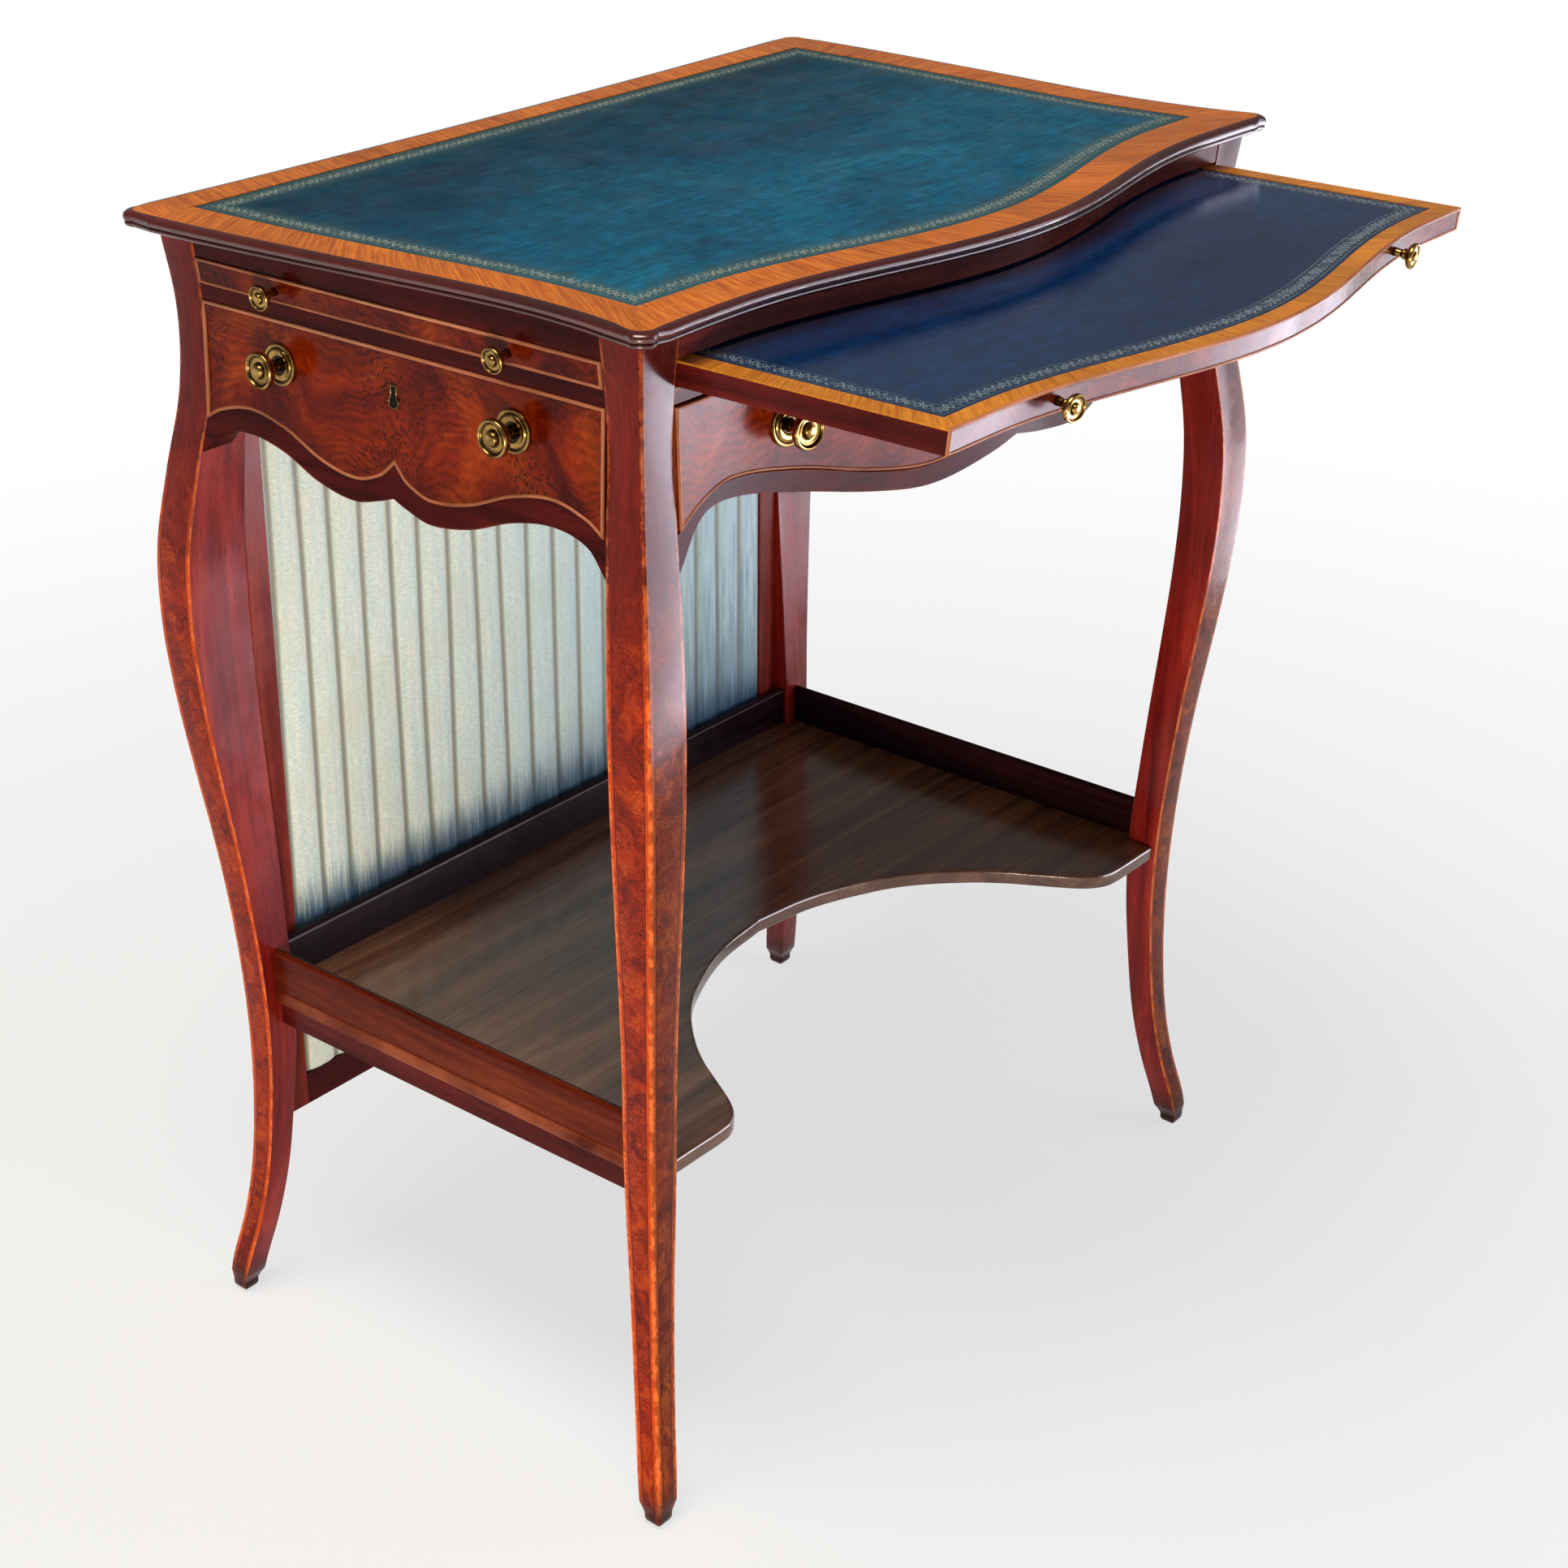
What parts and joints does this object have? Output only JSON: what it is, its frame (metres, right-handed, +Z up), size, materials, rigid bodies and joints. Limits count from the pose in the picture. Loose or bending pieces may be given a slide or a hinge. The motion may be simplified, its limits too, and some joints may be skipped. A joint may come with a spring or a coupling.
{
  "type": "writing table",
  "caption": "Small serpentine writing table on square cabriole legs, with a pull-out writing slide, a frieze drawer, an undertier and a rising pleated silk screen.",
  "frame": {"origin": "middle of the four feet on the floor", "axes": "+Z up, +X along the long side to the sitter's right, -Y towards the sitter, where the slide and drawer come out"},
  "size_m": [0.6278, 0.5913, 0.76],
  "materials": {
    "leg_wood": "french polished burr and red mahogany",
    "dark_wood": "dark polished mahogany",
    "shelf_wood": "satin mahogany",
    "plain_wood": "unpolished",
    "burr": "polished burr veneer",
    "banding": "polished crossbanding",
    "bead_wood": "worn polish",
    "brass": "aged",
    "blue_leather": "tooled",
    "dark_leather": "tooled",
    "silk": "pleated silk"
  },
  "bodies": {
    "table": {"leg_front_left": "leg_wood", "leg_front_right": "leg_wood", "leg_back_left": "leg_wood", "leg_back_right": "leg_wood", "top_board": "dark_wood", "top_crossband": "banding", "top_leather": "blue_leather", "moulding_front": "dark_wood", "moulding_left": "dark_wood", "moulding_right": "dark_wood", "upper_rail_front": "dark_wood", "mid_rail_front": "dark_wood", "apron_front": "dark_wood", "frieze_left": "dark_wood", "frieze_right": "dark_wood", "back_rail": "dark_wood", "side_slide_panels": "burr", "side_drawer_panels": "burr", "side_slide_beads": "bead_wood", "side_drawer_beads": "bead_wood", "side_escutcheons": "brass", "side_drawer_plates": "brass", "side_drawer_knobs": "brass", "side_slide_knobs": "brass", "slide_runners": "plain_wood", "slide_kickers": "plain_wood", "drawer_runners": "plain_wood", "shelf_board": "shelf_wood", "shelf_rails": "shelf_wood", "gallery_left": "shelf_wood", "gallery_right": "shelf_wood", "gallery_back": "shelf_wood"},
    "slide": {"slide_board": "dark_wood", "slide_lipping": "leg_wood", "slide_panel": "burr", "slide_beads": "bead_wood", "slide_crossband": "banding", "slide_leather": "dark_leather", "slide_knobs": "brass"},
    "drawer": {"drawer_front": "leg_wood", "drawer_panel": "burr", "drawer_beads": "bead_wood", "drawer_sides": "plain_wood", "drawer_back_board": "plain_wood", "drawer_bottom": "plain_wood", "drawer_plates": "brass", "drawer_knobs": "brass", "drawer_escutcheon": "brass"},
    "screen": {"screen_stiles": "dark_wood", "screen_bottom_rail": "dark_wood", "screen_top_rail": "dark_wood", "screen_silk": "silk", "screen_cap": "dark_wood", "cap_crossband": "banding", "cap_moulding": "dark_wood"}
  },
  "joints": [
    {"name": "slide_run", "type": "slide", "parent": "table", "child": "slide", "axis": [0, -1, 0], "range_m": [-0.17, 0.01]},
    {"name": "drawer_run", "type": "slide", "parent": "table", "child": "drawer", "axis": [0, -1, 0], "range_m": [0, 0.22]},
    {"name": "screen_rise", "type": "slide", "parent": "table", "child": "screen", "axis": [0, 0, 1], "range_m": [0, 0.38]}
  ]
}
